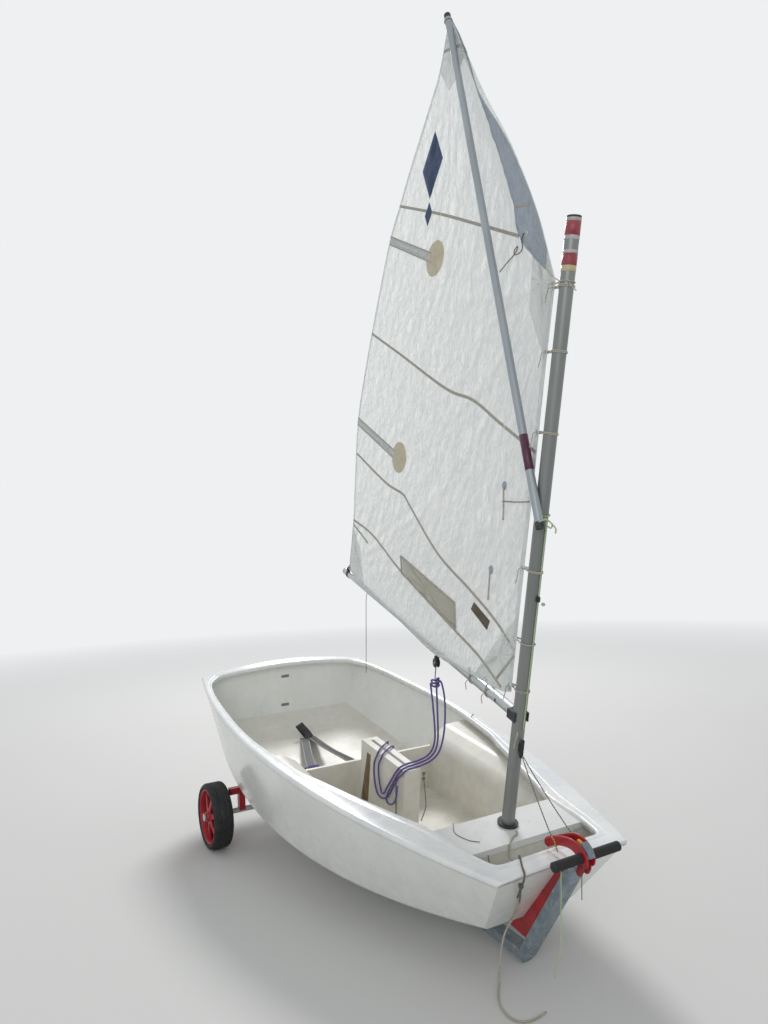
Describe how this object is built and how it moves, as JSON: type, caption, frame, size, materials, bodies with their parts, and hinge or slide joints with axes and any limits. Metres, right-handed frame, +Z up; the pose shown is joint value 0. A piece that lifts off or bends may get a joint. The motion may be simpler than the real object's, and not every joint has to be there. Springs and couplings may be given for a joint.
{
  "type": "sailing dinghy",
  "caption": "Small open pram sailing dinghy, spritsail set on its raked mast, standing bow-down on a launching trolley with red wheels.",
  "frame": {"origin": "middle of the whole box in plan, on the ground the tyres and the post's foot stand on", "axes": "+X forward to the bow, +Y to port, +Z up"},
  "size_m": [2.5348, 1.2562, 3.5957],
  "materials": {
    "hull": "gloss",
    "interior": "satin",
    "black_plastic": "satin",
    "stainless": "brushed",
    "webbing": "matt",
    "mast_alloy": "anodised",
    "spar_alloy": "anodised",
    "sailcloth": "matt",
    "galvanised": "galvanised",
    "red_paint": "satin",
    "red_plastic": "satin",
    "tyre": "matt",
    "pad_rubber": "matt",
    "foam_grip": "foam",
    "grip_steel": "galvanised",
    "sheet_rope": "braided",
    "painter_rope": "braided",
    "string_line": "twisted"
  },
  "bodies": {
    "boat": {"axle": "galvanised", "beam_bracket_left": "red_paint", "beam_bracket_right": "red_paint", "bow_bracket": "red_paint", "cockpit_sole": "interior", "cross_beam": "red_paint", "daggerboard_case": "interior", "front_post": "galvanised", "grip_left": "foam_grip", "grip_right": "foam_grip", "grip_string": "string_line", "grip_tube": "grip_steel", "gudgeon_lower": "stainless", "gudgeon_upper": "stainless", "gunwale_rim": "hull", "hook_cheek_left": "red_paint", "hook_cheek_right": "red_paint", "hook_cover": "galvanised", "hull_pad_left": "pad_rubber", "hull_pad_right": "pad_rubber", "hull_shell": "hull", "mainsheet": "sheet_rope", "mast_bulkhead": "interior", "mast_collar": "black_plastic", "mast_step": "interior", "mast_thwart": "interior", "midship_bulkhead": "interior", "painter": "painter_rope", "side_tank_left": "interior", "side_tank_right": "interior", "spine": "galvanised", "toe_strap_left": "webbing", "toe_strap_right": "webbing", "transom_plate_lower": "stainless", "transom_plate_upper": "stainless"},
    "rig": {"mast_tube": "mast_alloy", "mast_heel": "black_plastic", "mast_cap": "black_plastic", "mast_cleat": "black_plastic", "boom_tube": "spar_alloy", "boom_jaw": "black_plastic", "boom_end_cap": "black_plastic", "sheet_block": "black_plastic", "sprit_tube": "spar_alloy", "sprit_heel_cap": "black_plastic", "sprit_peak_cap": "black_plastic", "sail": "sailcloth"},
    "wheel_left": {"tyre_left": "tyre", "rim_left": "red_plastic"},
    "wheel_right": {"tyre_right": "tyre", "rim_right": "red_plastic"}
  },
  "joints": [
    {"name": "wheel_left_spin", "type": "hinge", "parent": "boat", "child": "wheel_left", "pos_m": [-0.74234, 0.5716, 0.1507], "axis": [0, 1, 0], "continuous": true},
    {"name": "wheel_right_spin", "type": "hinge", "parent": "boat", "child": "wheel_right", "pos_m": [-0.74234, -0.5716, 0.1507], "axis": [0, 1, 0], "continuous": true},
    {"name": "rig_swing", "type": "hinge", "parent": "boat", "child": "rig", "pos_m": [0.77243, 0, 0.42253], "axis": [0.2364, 0, 0.9716], "range_deg": [-80, 100]}
  ]
}
